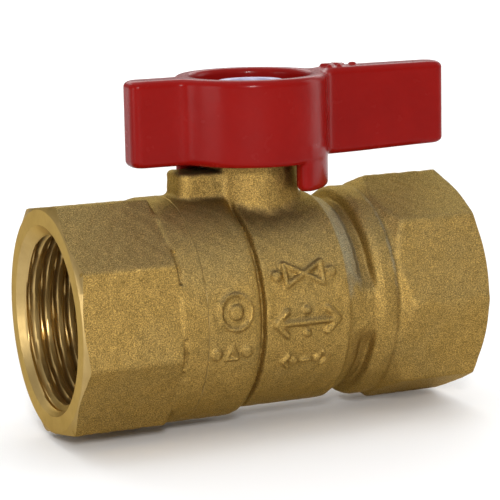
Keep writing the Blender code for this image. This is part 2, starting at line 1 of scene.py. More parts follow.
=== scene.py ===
"""Looks of the quarter-turn ball valve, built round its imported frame.

Lengths are millimetres until a mesh is made, which scales them by MM.
Forged and cast pieces are distance fields turned into meshes, so that their
edges and fillets come out round. Turned cutters then machine the threads,
seats and faces, as on the real valve.
"""

import math

import bmesh
import bpy
import numpy as np
from mathutils import Matrix, Vector


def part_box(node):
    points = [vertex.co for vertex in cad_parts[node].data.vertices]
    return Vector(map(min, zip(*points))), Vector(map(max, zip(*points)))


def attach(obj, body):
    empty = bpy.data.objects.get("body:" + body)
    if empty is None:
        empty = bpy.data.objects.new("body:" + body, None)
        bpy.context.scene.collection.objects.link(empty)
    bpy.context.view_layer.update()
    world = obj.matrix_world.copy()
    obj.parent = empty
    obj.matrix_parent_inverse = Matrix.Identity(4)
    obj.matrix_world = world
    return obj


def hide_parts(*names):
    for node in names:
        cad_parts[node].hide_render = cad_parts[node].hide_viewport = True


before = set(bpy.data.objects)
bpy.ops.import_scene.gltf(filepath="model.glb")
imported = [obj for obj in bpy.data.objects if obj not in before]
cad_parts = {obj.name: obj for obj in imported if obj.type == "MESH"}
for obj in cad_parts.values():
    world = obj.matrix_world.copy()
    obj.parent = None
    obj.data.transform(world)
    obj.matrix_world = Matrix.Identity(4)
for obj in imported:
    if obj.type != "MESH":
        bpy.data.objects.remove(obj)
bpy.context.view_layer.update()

MM = 0.001


def span(node):
    """Lowest and highest corners of a CAD node in millimetres."""
    low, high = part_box(node)
    return [value / MM for value in low], [value / MM for value in high]


# ---- sizes read from the frame -------------------------------------------------------
BODY_LOW, BODY_HIGH = span("valve_body")
CONNECTOR_LOW, CONNECTOR_HIGH = span("end_connector")
HANDLE_LOW, HANDLE_HIGH = span("t_handle")
BALL_HIGH = span("ball")[1]
STEM_LOW, STEM_HIGH = span("stem")
SEAT_LOW, SEAT_HIGH = span("seat_ring_outlet")
NUT_LOW, NUT_HIGH = span("handle_nut")
WASHER_LOW, WASHER_HIGH = span("handle_lock_washer")
SEAL_LOW, SEAL_HIGH = span("body_joint_seal")

FIT_GAP = 0.3
INLET_X = CONNECTOR_LOW[0]
OUTLET_X = BODY_HIGH[0]
SEAM_X = BODY_LOW[0]
TAIL_X = CONNECTOR_HIGH[0]
JOINT_STEP_X = SEAL_HIGH[0] + FIT_GAP
BALL_R = BALL_HIGH[1]
BORE_R = math.sqrt(BALL_R ** 2 - BALL_HIGH[0] ** 2)
WATERWAY_GAP = 0.2
WATERWAY_R = BORE_R + WATERWAY_GAP
CAVITY_GAP = 0.7
CAVITY_R = BALL_R + CAVITY_GAP
SEAT_FRONT_X = SEAT_LOW[0]
SEAT_BACK_X = SEAT_HIGH[0]
SEAT_R = SEAT_HIGH[1]
POCKET_R = SEAT_R + FIT_GAP
POCKET_X = SEAT_BACK_X + FIT_GAP

# ---- outside of the housing, along the pipe axis -------------------------------------
HOUSING_WALL = 2.91
HOUSING_R = CAVITY_R + HOUSING_WALL
RING_STEP = 0.9         # ring over the joint, above the housing
RING_R = HOUSING_R + RING_STEP
JOINT_WIDTH = 0.95
JOINT_R = CAVITY_R + JOINT_WIDTH
TAIL_R = JOINT_R - FIT_GAP
RING_LENGTH = 8.45
RING_END_X = SEAM_X + RING_LENGTH
GROOVE_DEPTH = 0.85
BAND_SET_BACK = 3.0     # start of the bevelled band, before the pocket's floor
BAND_X = POCKET_X - BAND_SET_BACK
BAND_LENGTH = 2.45
BAND_DROP = 1.15
BAND_END_X = BAND_X + BAND_LENGTH
NECKING_WIDTH = 1.8
COLLAR_X = BAND_END_X + NECKING_WIDTH
COLLAR_LENGTH = 4.3
OCTAGON_X = COLLAR_X + COLLAR_LENGTH
NECKING_WALL = 2.3
NECKING_R = POCKET_R + NECKING_WALL
INLET_FLAT_R = 16.17
OUTLET_FLAT_R = 15.87
UNDER_FLATS = 0.6       # round blank below the flats
INLET_TURN = math.radians(-13.3)
CONNECTOR_COLLAR = 3.9  # round part between the flats and the seam
FLATS_END_X = SEAM_X - CONNECTOR_COLLAR
CORNER_SHARPNESS = 8.0  # of the octagon's long edges
FACE_CHAMFER = 0.45
FACE_LIP = 0.2          # how far the face's chamfer eats into the flats
FORGING_OVERRUN = 1.5   # stock left on the ends for facing
FACING_SPAN = 5         # reach of a facing cutter beyond its face
SOCKET_LEAD = 3         # reach of a socket cutter beyond its face
TURNING_EDGE = 0.04     # broken edge beside the seam
SLIT_PLACE = 0.4        # dark slits behind the corners of the connector's flats
SLIT_RADIUS = 0.42
RIB_HALF_HEIGHT = 4.0
RIB_DROP = 0.45
RIB_HALF_LENGTH = 2.9
RIB_SHIFT = 0.4

# ---- stem boss and lug ---------------------------------------------------------------
STEM_BORE_R = 4.3
COUNTERBORE_R = 5.5
SHOULDER_Z = 14.5
BOSS_R = 6.7
BOSS_TOP_Z = BODY_HIGH[2]
LUG_HALF_WIDTH = 3.3
LUG_TIP_X = -12.7
LUG_RISE = 4.3
LUG_TOP_Z = HOUSING_R + LUG_RISE
LUG_CORNER = 1.6
BOSS_FILLET = 1.5
BOSS_CAP = 0.8          # boss stock above its finished top
BOSS_ROOT_Z = 6.0
LUG_ROOT_Z = 10.0

# ---- stem ----------------------------------------------------------------------------
BALL_TO_FLANGE = 0.4
FLANGE_Z = BALL_R + BALL_TO_FLANGE
FLANGE_THICKNESS = 1.1
FLANGE_EDGE = 0.2
SLOT_HALF = 1.8
SLOT_FLOOR_Z = STEM_LOW[2] - FIT_GAP
STEM_R = STEM_BORE_R - FIT_GAP
DRIVE_FLAT = STEM_R - 1.05
DRIVE_STEP = 0.3
ORING_HALF_GROOVE = 0.85
ORING_GROOVE_DEPTH = 1.4
ORING_PLACES = [(span(node)[0][2] + span(node)[1][2]) / 2
                for node in ("stem_o_ring_lower", "stem_o_ring_upper")]

# ---- handle --------------------------------------------------------------------------
HUB_R = HANDLE_HIGH[1]
CUP_R = 8.8
LUG_CLEARANCE = 1.1
HUB_BOTTOM_Z = LUG_TOP_Z + LUG_CLEARANCE
TAB_BOTTOM_Z = HANDLE_LOW[2]
WING_TOP_Z = HANDLE_HIGH[2]
BOSS_CLEARANCE = 0.5
FLOOR_Z = BOSS_TOP_Z + BOSS_CLEARANCE
FLOOR_TOP_Z = WASHER_LOW[2] - FIT_GAP
SHORT_WING = -HANDLE_LOW[0]
LONG_WING = HANDLE_HIGH[0]
WING_HALF = 2.45
WING_TAPER = 0.004
WING_CORNER = 1.6
WING_RISE = 0.45        # underside of the long wing's tip above the hub's
HUB_DROP = 0.35         # hub's rim below the long wing's top
CASTING_EDGE = 0.95
CUP_EDGE = 0.9
RECESS_GAP = 0.6
RECESS_R = BOSS_R + RECESS_GAP
STOP_GAP = 0.15
TAB_SIDE = LUG_HALF_WIDTH + STOP_GAP
TAB_GAP = 0.9
TAB_INNER_R = BOSS_R + TAB_GAP
TAB_OVERLAP = 3         # how far a tab reaches up into the hub
DRIVE_HOLE_R = 4.0
DRIVE_HOLE_FLAT = 3.25

# ---- threads -------------------------------------------------------------------------
PIPE_PITCH = 25.4 / 14
PIPE_CREST_R = 12.25
PIPE_THREAD_DEPTH = 0.85
PIPE_TAPER = 1 / 32
PIPE_CREST_SHARE = 0.36
PIPE_FLANK_SHARE = 0.56
SOCKET_DEPTH = 14.2
SOCKET_CONE = 2.0
SOCKET_RUN_OUT = 2.0    # length over which the thread dies away
SOCKET_END_SHARE = 0.02
MOUTH_R = 13.75
MOUTH_CHAMFER = 0.5
MOUTH_MARGIN = 0.25
STEM_PITCH = 1.0
SCREW_R = 2.9
SCREW_DEPTH = 0.55
SCREW_CHAMFER = 0.5
NUT_THREAD_DEPTH = 0.2


# ---- distance fields -----------------------------------------------------------------
def smooth_union(first, second, blend):
    weight = np.maximum(blend - np.abs(first - second), 0) / blend
    return np.minimum(first, second) - weight * weight * blend / 4


def soft_union(first, second, sharpness):
    """Union with a long, even fillet."""
    near = np.minimum(first, second)
    return near - np.log1p(np.exp(-sharpness * np.abs(first - second))) / sharpness


def smooth_cut(first, second, blend):
    """Intersection with a round edge."""
    return -smooth_union(-first, -second, blend)


def smooth_step(value):
    value = np.clip(value, 0, 1)
    return value * value * (3 - 2 * value)


def outline_radius(points, softness):
    """Radius along an axis as a function, from (place, radius) points with soft corners."""
    places, radii = zip(*points)
    fine = 0.02
    table = np.arange(min(places) - 1, max(places) + 1, fine)
    raw = np.interp(table, places, radii)
    reach = int(3 * softness / fine)
    weights = np.exp(-0.5 * (np.arange(-reach, reach + 1) * fine / softness) ** 2)
    soft = np.convolve(np.pad(raw, reach, mode="edge"), weights / weights.sum(), mode="valid")
    return lambda place: np.interp(place, table, soft)


def octagon_field(y, z, flat_radius, turn):
    """Distance to a bar with eight flats and slightly rounded corners."""
    ceiling = 60    # keeps the exponential within range far outside
    total = 0
    for side in range(8):
        angle = turn + (side + 0.5) * math.pi / 4
        reach = -y * math.cos(angle) + z * math.sin(angle) - flat_radius
        total = total + np.exp(np.minimum(CORNER_SHARPNESS * reach, ceiling))
    return np.log(total) / CORNER_SHARPNESS


def forging_lumps(x, y, z):
    """Gentle unevenness of a forged skin, a few hundredths of a millimetre."""
    total = 0
    for size, height, shift in ((3.1, 0.022, 0.3), (1.7, 0.014, 1.9), (0.95, 0.009, 4.1)):
        k = 2 * math.pi / size
        total = total + height * (
            np.sin(k * x + shift + 1.3 * np.sin(k * 0.6 * z))
            * np.sin(k * y * 0.9 + 2 * shift)
            + np.sin(k * z * 1.1 + 3 * shift + 1.1 * np.sin(k * 0.5 * y))
            * np.sin(k * x * 0.8 - shift)
        )
    return total


# ---- meshes from fields --------------------------------------------------------------
CORNERS = [(i, j, k) for i in (0, 1) for j in (0, 1) for k in (0, 1)]


def cell_edges():
    edges = []
    for first in CORNERS:
        for axis in range(3):
            if first[axis] == 0:
                second = tuple(1 if n == axis else first[n] for n in range(3))
                edges.append((first, second))
    return edges


FILL = 0.02             # depth given to filled grid points, as a share of the step


def untangle(values, step):
    """Fill grid faces whose corners alternate, where the surface would touch itself."""
    for one, two in ((0, 1), (1, 2), (0, 2)) * 2:
        corners = []
        for i, j in ((0, 0), (1, 0), (1, 1), (0, 1)):
            cut = [slice(None)] * 3
            cut[one] = slice(i, values.shape[one] - 1 + i)
            cut[two] = slice(j, values.shape[two] - 1 + j)
            corners.append(values[tuple(cut)])
        inside = [corner < 0 for corner in corners]
        tangled = (inside[0] == inside[2]) & (inside[1] == inside[3]) & (inside[0] != inside[1])
        for corner in corners:
            corner[tangled & (corner >= 0)] = -FILL * step


def net_points(values, cells):
    """One point per mixed cell: the mean of the places where its edges cross zero."""
    total = np.zeros((len(cells), 3))
    count = np.zeros(len(cells))
    for first, second in cell_edges():
        low = values[tuple((cells + first).T)]
        high = values[tuple((cells + second).T)]
        crossed = (low < 0) != (high < 0)
        share = np.where(crossed, low / np.where(crossed, low - high, 1), 0)
        place = np.array(first) + share[:, None] * (np.array(second) - np.array(first))
        total += crossed[:, None] * place
        count += crossed
    return cells + total / count[:, None]


def net_faces(inside, index):
    """A quad round every grid edge that crosses the surface, facing outward."""
    faces = []
    size = inside.shape
    for axis in range(3):
        one, two = (axis + 1) % 3, (axis + 2) % 3
        near = [slice(1, -1)] * 3
        far = [slice(1, -1)] * 3
        near[axis] = slice(0, size[axis] - 1)
        far[axis] = slice(1, size[axis])
        first, second = inside[tuple(near)], inside[tuple(far)]
        places = np.argwhere(first != second)
        leaving = first[tuple(places.T)]
        offset = np.ones(3, int)
        offset[axis] = 0
        places = places + offset
        ring = []
        for step_one, step_two in ((0, 0), (1, 0), (1, 1), (0, 1)):
            cell = places.copy()
            cell[:, one] -= step_one
            cell[:, two] -= step_two
            ring.append(index[tuple(cell.T)])
        ring = np.stack(ring, 1)
        ring[~leaving] = ring[~leaving][:, ::-1]
        faces.append(ring)
    return np.concatenate(faces)


def settle(points, field, step):
    """Move points along the field's slope until they lie on the surface."""
    probe = 0.004
    rounds = 4
    least_slope = 0.05
    for _ in range(rounds):
        value = field(*points.T)
        slope = []
        for axis in range(3):
            shifted = points.copy()
            shifted[:, axis] += probe
            slope.append((field(*shifted.T) - value) / probe)
        slope = np.stack(slope, 1)
        length = np.maximum((slope ** 2).sum(1), least_slope)
        move = np.clip(value / length, -step, step)
        points = points - move[:, None] * slope
    return points


def field_object(name, field, low, high, step):
    """The zero surface of a field inside a box, as a closed mesh of quads."""
    axes = [np.arange(lo, hi + step, step) for lo, hi in zip(low, high)]
    x, y, z = np.meshgrid(*axes, indexing="ij", sparse=True)
    values = np.array(np.broadcast_to(field(x, y, z), [len(axis) for axis in axes]))
    untangle(values, step)
    inside = values < 0
    total = np.zeros([n - 1 for n in inside.shape], np.int8)
    for i, j, k in CORNERS:
        nx, ny, nz = total.shape
        total += inside[i:i + nx, j:j + ny, k:k + nz]
    cells = np.argwhere((total > 0) & (total < 8))
    index = np.full(total.shape, -1)
    index[tuple(cells.T)] = np.arange(len(cells))
    points = net_points(values, cells) * step + np.array(low)
    points = settle(points, field, step * 0.5)
    return mesh_object(name, points, net_faces(inside, index))


def smooth_object(name, mesh):
    mesh.shade_smooth()
    item = bpy.data.objects.new(name, mesh)
    bpy.context.scene.collection.objects.link(item)
    return item


def mesh_object(name, points, faces):
    mesh = bpy.data.meshes.new(name)
    mesh.from_pydata((np.asarray(points) * MM).tolist(), [], np.asarray(faces).tolist())
    mesh.validate()
    return smooth_object(name, mesh)


# ---- turned shapes and cuts ----------------------------------------------------------
def turned(name, rows, axis, sides, thread=None, hollow=False):
    """Spin (place, radius) or (place, radius, thread share) rows about an axis.

    The rows run along the axis and the ends are capped, unless the outline is
    that of a hollow ring and closes on itself. thread(place, turn) gives the
    depth that a full thread share adds to the radius.
    """
    turns = np.arange(sides) / sides
    bm = bmesh.new()
    rings = []
    for row in rows:
        radius = np.full(sides, float(row[1]))
        if len(row) > 2 and thread is not None:
            radius += row[2] * thread(row[0], turns)
        first = radius * np.cos(2 * math.pi * turns)
        second = radius * np.sin(2 * math.pi * turns)
        place = np.full(sides, float(row[0]))
        columns = (place, first, second) if axis == "X" else (first, second, place)
        rings.append([bm.verts.new(point * MM) for point in np.stack(columns, 1)])
    following = rings[1:] + rings[:1] if hollow else rings[1:]
    for ring, other in zip(rings, following):
        for side in range(sides):
            after = (side + 1) % sides
            bm.faces.new((ring[side], other[side], other[after], ring[after]))
    if not hollow:
        bm.faces.new(rings[0])
        bm.faces.new(rings[-1])
    return finish_bmesh(name, bm)


def hollow_turned(name, outline, axis, sides):
    """Spin a closed outline that doesn't reach the axis, such as a ring's section."""
    return turned(name, outline, axis, sides, hollow=True)


def finish_bmesh(name, bm):
    bmesh.ops.recalc_face_normals(bm, faces=bm.faces)
    mesh = bpy.data.meshes.new(name)
    bm.to_mesh(mesh)
    bm.free()
    return smooth_object(name, mesh)


def carve(target, tool, operation, solver="MANIFOLD"):
    """Apply a Boolean to the target's mesh and remove the tool.

    A fast solver is tried first, and the exact one where it leaves the mesh
    empty or uncut.
    """
    modifier = target.modifiers.new("carve", "BOOLEAN")
    modifier.operation = operation
    modifier.solver = solver
    modifier.object = tool
    graph = bpy.context.evaluated_depsgraph_get()
    graph.update()
    result = bpy.data.meshes.new_from_object(target.evaluated_get(graph), depsgraph=graph)
    target.modifiers.clear()
    refused = len(result.polygons) in (0, len(target.data.polygons))
    if refused and solver == "MANIFOLD":
        carve(target, tool, operation, "EXACT")
        return
    result.name = target.name
    target.data = result
    bpy.data.objects.remove(tool, do_unlink=True)


def crisp(item, degrees):
    """Keep edges sharper than the angle sharp under smooth shading."""
    item.data.shade_smooth()
    item.data.set_sharp_from_angle(angle=math.radians(degrees))


def valley_share(phase):
    """0 in the middle of a thread's turn, rising to 1 at both its ends."""
    return np.abs(phase % 1.0 - 0.5) * 2


def pipe_thread(place, turns):
    """Depth of the cut thread at a place: full at the root, none at the crest."""
    valley = valley_share(place / PIPE_PITCH - turns)
    return PIPE_THREAD_DEPTH * smooth_step((valley - PIPE_CREST_SHARE) / PIPE_FLANK_SHARE)


def screw_thread(depth):
    """Thread of the stem's screw, cut inward from its crests to the given depth."""
    def inward(place, turns):
        valley = valley_share(place / STEM_PITCH - turns)
        return -depth * smooth_step((valley - 0.1) / 0.8)
    return inward


def socket_rows(face_x, inward):
    """Cutter rows of a threaded socket, from outside its face to the waterway."""
    outside = MOUTH_R + MOUTH_MARGIN
    rows = [(face_x - inward * SOCKET_LEAD, outside), (face_x - inward * MOUTH_MARGIN, outside)]
    rows += [(face_x, MOUTH_R)]
    rows += [(face_x + inward * MOUTH_CHAMFER, MOUTH_R - MOUTH_CHAMFER, 0.0)]
    steps = 80
    for step in range(1, steps + 1):
        along = MOUTH_CHAMFER + (SOCKET_DEPTH - MOUTH_CHAMFER) * step / steps
        crest = PIPE_CREST_R - along * PIPE_TAPER
        mouth = max(crest, MOUTH_R - along)
        entry = 1 + (crest - mouth) / PIPE_THREAD_DEPTH
        leaving = (SOCKET_DEPTH - along) / SOCKET_RUN_OUT + SOCKET_END_SHARE
        rows.append((face_x + inward * along, mouth, max(min(1.0, entry, leaving), 0.0)))
    rows += [(face_x + inward * (SOCKET_DEPTH + SOCKET_CONE), WATERWAY_R)]
    return rows


# ---- generic marks raised on the body ------------------------------------------------
def stroke(u, v, start, end, width):
    """Distance to a straight bar with round ends, negative inside."""
    du, dv = end[0] - start[0], end[1] - start[1]
    share = np.clip(((u - start[0]) * du + (v - start[1]) * dv) / (du * du + dv * dv), 0, 1)
    return np.hypot(u - start[0] - share * du, v - start[1] - share * dv) - width / 2


def polyline(u, v, points, width):
    return np.minimum.reduce([stroke(u, v, a, b, width) for a, b in zip(points, points[1:])])


def ring_mark(u, v, centre, radius, width):
    return np.abs(np.hypot(u - centre[0], v - centre[1]) - radius) - width / 2


def valve_symbol(u, v, centre, half_length, half_height, width):
    """Two triangles tip to tip: the drawing sign for a valve."""
    left, right = centre[0] - half_length, centre[0] + half_length
    low, high = centre[1] - half_height, centre[1] + half_height
    points = [centre, (left, high), (left, low), centre, (right, high), (right, low), centre]
    return polyline(u, v, points, width)


def flow_arrow(u, v, centre, half_length, head, width):
    """Arrow with a head at both ends: flow either way."""
    left, right = (centre[0] - half_length, centre[1]), (centre[0] + half_length, centre[1])
    parts = [stroke(u, v, left, right, width)]
    for tip, back in ((left, head), (right, -head)):
        for side in (-head, head):
            parts.append(stroke(u, v, tip, (tip[0] + back, tip[1] + side), width))
    return np.minimum.reduce(parts)


def chevron(u, v, tip, reach, way, width):
    """Arrow head whose arms run back from its tip."""
    arms = [(tip[0] - way * reach, tip[1] + reach), tip, (tip[0] - way * reach, tip[1] - reach)]
    return polyline(u, v, arms, width)


def dot(u, v, centre, radius):
    return np.hypot(u - centre[0], v - centre[1]) - radius


LARGE_MARK, LARGE_FLANK = 0.55, 0.55    # height and width of slope of the large marks
SMALL_MARK, SMALL_FLANK = 0.45, 0.5
MARKS_REACH = 1.3                       # angle either side of the front that may hold marks


def mark_height(x, angle, radius):
    """Height of the raised generic marks over the front of the body."""
    v = angle * radius
    high, middle, low = radius * 0.40, radius * -0.04, radius * -0.42
    large = np.minimum.reduce([
        dot(x, v, (-3.0, high), 0.75),
        valve_symbol(x, v, (1.3, high), 2.9, 1.6, 0.7),
        dot(x, v, (5.6, high), 0.75),
        flow_arrow(x, v, (1.3, middle), 4.9, 1.7, 0.85),
        dot(x, v, (1.3, middle + 1.7), 0.55),
        dot(x, v, (1.3, middle - 1.7), 0.55),
    ])
    small_row, emblem = radius * -0.235, (-10.05, radius * 0.12)
    small = np.minimum.reduce([
        ring_mark(x, v, emblem, 2.35, 0.5),
        dot(x, v, emblem, 1.0),
        dot(x, v, (-13.0, small_row), 0.75),
        polyline(x, v, [(-11.6, small_row - 0.8), (-9.8, small_row - 0.8),
                        (-10.7, small_row + 0.9), (-11.6, small_row - 0.8)], 0.5),
        dot(x, v, (-8.4, small_row), 0.75),
        chevron(x, v, (-2.2, low), 1.0, -1, 0.55),
        dot(x, v, (-0.4, low), 0.6),
        stroke(x, v, (0.9, low), (2.1, low), 0.6),
        dot(x, v, (3.3, low), 0.6),
        chevron(x, v, (5.1, low), 1.0, 1, 0.55),
    ])
    large_height = smooth_step(0.5 - large / LARGE_FLANK) * LARGE_MARK
    small_height = smooth_step(0.5 - small / SMALL_FLANK) * SMALL_MARK
    return np.maximum(large_height, small_height) * (np.abs(angle) < MARKS_REACH)


# ---- forged blanks -------------------------------------------------------------------
def body_radius():
    return outline_radius([
        (SEAM_X - 3, RING_R), (RING_END_X - 1.4, RING_R), (RING_END_X - 0.5, RING_R - 0.3),
        (RING_END_X, HOUSING_R - 0.1), (RING_END_X + 0.2, HOUSING_R - GROOVE_DEPTH),
        (RING_END_X + 0.55, HOUSING_R - GROOVE_DEPTH), (RING_END_X + 0.8, HOUSING_R),
        (BAND_X - 0.1, HOUSING_R), (BAND_X + 0.05, HOUSING_R - 0.3),
        (BAND_END_X - 0.3, HOUSING_R - BAND_DROP), (BAND_END_X + 0.15, NECKING_R),
        (COLLAR_X - 0.1, NECKING_R), (COLLAR_X + 0.15, OUTLET_FLAT_R - UNDER_FLATS),
        (COLLAR_X + 1.2, OUTLET_FLAT_R - 0.08), (OCTAGON_X - 1.3, OUTLET_FLAT_R - 0.12),
        (OCTAGON_X - 0.2, OUTLET_FLAT_R - 0.55), (OUTLET_X + 3, OUTLET_FLAT_R - 0.55),
    ], 0.14)


def body_field(x, y, z):
    radius = np.hypot(y, z)
    outline = BODY_OUTLINE(x)
    angle = np.arctan2(z, -y)
    housing = radius - outline - mark_height(x, angle, HOUSING_R)
    flats = octagon_field(y, z, OUTLET_FLAT_R, 0.0)
    slope = (radius - OUTLET_FLAT_R) * 0.77 + (OCTAGON_X - x) * 0.64
    flats = smooth_cut(flats, slope, 0.3)
    shape = smooth_union(housing, flats, 0.35)
    draft = (np.abs(z) - RIB_HALF_HEIGHT + (radius - NECKING_R - 0.5) * 1.4) * 0.6
    rib = smooth_cut(draft, radius - HOUSING_R + RIB_DROP, 0.5)
    middle = (BAND_X + COLLAR_X) / 2 + RIB_SHIFT
    rib = smooth_cut(rib, np.abs(x - middle) - RIB_HALF_LENGTH, 0.4)
    shape = smooth_union(shape, rib, 0.9)
    height = np.maximum(BOSS_ROOT_Z - z, z - BOSS_TOP_Z - BOSS_CAP)
    boss = smooth_cut(np.hypot(x, y) - BOSS_R, height, 0.3)
    shape = smooth_union(shape, boss, BOSS_FILLET)
    past_tip = np.maximum(LUG_TIP_X + LUG_CORNER - x, 0)
    past_side = np.maximum(np.abs(y) - LUG_HALF_WIDTH + LUG_CORNER, 0)
    corner = np.hypot(past_tip, past_side) - LUG_CORNER
    lug = smooth_cut(corner, np.maximum(z - LUG_TOP_Z, LUG_ROOT_Z - z), 0.7)
    lug = smooth_cut(lug, x, 0.3)
    shape = smooth_union(shape, lug, 0.8)
    ends = np.maximum(SEAM_X - FORGING_OVERRUN - x, x - OUTLET_X - FORGING_OVERRUN)
    return np.maximum(shape, ends) + forging_lumps(x, y, z)


def connector_radius():
    return outline_radius([
        (INLET_X - 3, INLET_FLAT_R - UNDER_FLATS),
        (FLATS_END_X - 0.6, INLET_FLAT_R - UNDER_FLATS),
        (FLATS_END_X + 0.1, RING_R), (TAIL_X + 3, RING_R),
    ], 0.16)


def connector_field(x, y, z):
    radius = np.hypot(y, z)
    flats = octagon_field(y, z, INLET_FLAT_R, INLET_TURN)
    slope = (radius - INLET_FLAT_R) * 0.3 + (x - FLATS_END_X - 0.25) * 0.95
    flats = smooth_cut(flats, slope, 0.25)
    slit = np.hypot(x - FLATS_END_X - SLIT_PLACE, radius - RING_R - 0.1) - SLIT_RADIUS
    slit = np.maximum(slit, octagon_field(y, z, INLET_FLAT_R - 0.3, INLET_TURN) * 0.5)
    shape = smooth_union(smooth_cut(radius - CONNECTOR_OUTLINE(x), -slit, 0.15), flats, 0.1)
    ends = np.maximum(INLET_X - FORGING_OVERRUN - x, x - TAIL_X - FORGING_OVERRUN)
    return np.maximum(shape, ends) + forging_lumps(x + 40, y, z)


def handle_plan(x, y):
    """Plan of hub and wings: round hub, two tapering wings, fillets where they meet."""
    hub = np.hypot(x, y) - HUB_R
    side = np.abs(y) - (WING_HALF - WING_TAPER * np.maximum(np.abs(x) - HUB_R, 0))
    long_wing = smooth_cut(side, np.maximum(x - LONG_WING, -x), WING_CORNER)
    short_wing = smooth_cut(side, np.maximum(-x - SHORT_WING, x), WING_CORNER)
    return soft_union(smooth_union(hub, long_wing, 2.2), short_wing, 1.1)


def rounded_slab(plan, bottom, top, z, edge):
    """Plan field extruded between two heights, with round edges."""
    across = plan + edge
    along = np.maximum(bottom - z, z - top) + edge
    outside = np.hypot(np.maximum(across, 0), np.maximum(along, 0))
    return np.minimum(np.maximum(across, along), 0) + outside - edge


def handle_marks(x, y):
    """Generic raised marks on top of the long wing: chevrons and a dot."""
    first, pitch = 13.4, 1.6
    marks = np.minimum.reduce([
        chevron(x, y, (first, 0.0), 1.2, 1, 0.6),
        chevron(x, y, (first + pitch, 0.0), 1.2, 1, 0.6),
        dot(x, y, (first + 2 * pitch, 0.0), 0.6),
    ])
    return smooth_step(0.5 - marks / SMALL_FLANK) * SMALL_MARK


def handle_field(x, y, z):
    plan = handle_plan(x, y)
    taper = smooth_step((x - HUB_R) / (LONG_WING - HUB_R))
    bottom = HUB_BOTTOM_Z + WING_RISE * taper
    top = WING_TOP_Z - HUB_DROP * smooth_step((HUB_R + 2 - x) / 3)
    lowered = z - handle_marks(x, y) * (z > FLOOR_TOP_Z)
    slab = rounded_slab(plan, bottom, top, lowered, CASTING_EDGE)
    radius = np.hypot(x, y)
    slab = smooth_cut(slab, -np.maximum(radius - CUP_R, FLOOR_TOP_Z - z), CUP_EDGE)
    ring = np.abs(radius - (HUB_R + TAB_INNER_R) / 2) - (HUB_R - TAB_INNER_R) / 2
    first = np.maximum(TAB_SIDE - x, TAB_SIDE + y)
    second = np.maximum(TAB_SIDE + x, TAB_SIDE - y)
    tab = smooth_cut(ring, np.minimum(first, second), 2.0)
    tab = rounded_slab(tab, TAB_BOTTOM_Z, HUB_BOTTOM_Z + TAB_OVERLAP, z, CASTING_EDGE)
    shape = smooth_union(slab, tab, 0.3)
    recess = np.maximum(radius - RECESS_R, z - FLOOR_Z)
    shape = smooth_cut(shape, -recess, 0.5)
    drive = np.maximum(radius - DRIVE_HOLE_R, np.abs(x) - DRIVE_HOLE_FLAT)
    return smooth_cut(shape, -drive, 0.3)


BODY_OUTLINE = body_radius()
CONNECTOR_OUTLINE = connector_radius()


# ---- materials -----------------------------------------------------------------------
class Nodes:
    """Short calls for building a material's node tree."""

    def __init__(self, name):
        self.material = bpy.data.materials.new(name)
        self.material.use_nodes = True
        self.tree = self.material.node_tree
        self.shader = self.tree.nodes["Principled BSDF"]

    def add(self, kind, **values):
        node = self.tree.nodes.new(kind)
        for key, value in values.items():
            setattr(node, key, value)
        return node

    def link(self, source, target):
        self.tree.links.new(source, target)

    def feed(self, sockets, values):
        """Link or set sockets: a value is another node's output, a colour or a number."""
        for socket, value in zip(sockets, values):
            if isinstance(value, bpy.types.NodeSocket):
                self.link(value, socket)
            elif isinstance(value, tuple):
                socket.default_value = (*value, 1)
            else:
                socket.default_value = value

    def place(self):
        """Object coordinates in metres."""
        return self.add("ShaderNodeTexCoord").outputs["Object"]

    def noise(self, scale, detail=4.0, roughness=0.55, stretch=None):
        node = self.add("ShaderNodeTexNoise")
        node.inputs["Scale"].default_value = scale
        node.inputs["Detail"].default_value = detail
        node.inputs["Roughness"].default_value = roughness
        source = self.place()
        if stretch:
            mapping = self.add("ShaderNodeMapping")
            mapping.inputs["Scale"].default_value = stretch
            self.link(source, mapping.inputs["Vector"])
            source = mapping.outputs["Vector"]
        self.link(source, node.inputs["Vector"])
        return node.outputs["Fac"]

    def ramp(self, source, *stops):
        node = self.add("ShaderNodeValToRGB")
        ramp = node.color_ramp
        while len(ramp.elements) < len(stops):
            ramp.elements.new(0.5)
        for element, (place, colour) in zip(ramp.elements, stops):
            element.position = place
            element.color = colour if len(colour) == 4 else (*colour, 1)
        self.link(source, node.inputs["Fac"])
        return node.outputs["Color"]

    def range(self, source, low, high, new_low, new_high):
        node = self.add("ShaderNodeMapRange")
        for key, value in (("From Min", low), ("From Max", high),
                           ("To Min", new_low), ("To Max", new_high)):
            node.inputs[key].default_value = value
        self.link(source, node.inputs["Value"])
        return node.outputs["Result"]

    def mix(self, share, first, second, blend="MIX"):
        node = self.add("ShaderNodeMix", data_type="RGBA", blend_type=blend)
        sockets = node.inputs["Factor"], node.inputs[6], node.inputs[7]
        self.feed(sockets, (share, first, second))
        return node.outputs[2]

    def maths(self, operation, first, second=0.0):
        node = self.add("ShaderNodeMath", operation=operation)
        self.feed(node.inputs, (first, second))
        return node.outputs[0]

    def bump(self, height, distance, strength=1.0, after=None):
        node = self.add("ShaderNodeBump")
        node.inputs["Distance"].default_value = distance
        node.inputs["Strength"].default_value = strength
        self.link(height, node.inputs["Height"])
        if after is not None:
            self.link(after, node.inputs["Normal"])
        return node.outputs["Normal"]

    def edges(self, low, high):
        """Share that rises on worn, convex edges."""
        node = self.add("ShaderNodeNewGeometry")
        return self.range(node.outputs["Pointiness"], low, high, 0.0, 1.0)

    def set(self, **values):
        for key, value in values.items():
            self.shader.inputs[key.replace("_", " ")].default_value = value

    def drive(self, **sources):
        for key, source in sources.items():
            self.link(source, self.shader.inputs[key.replace("_", " ")])


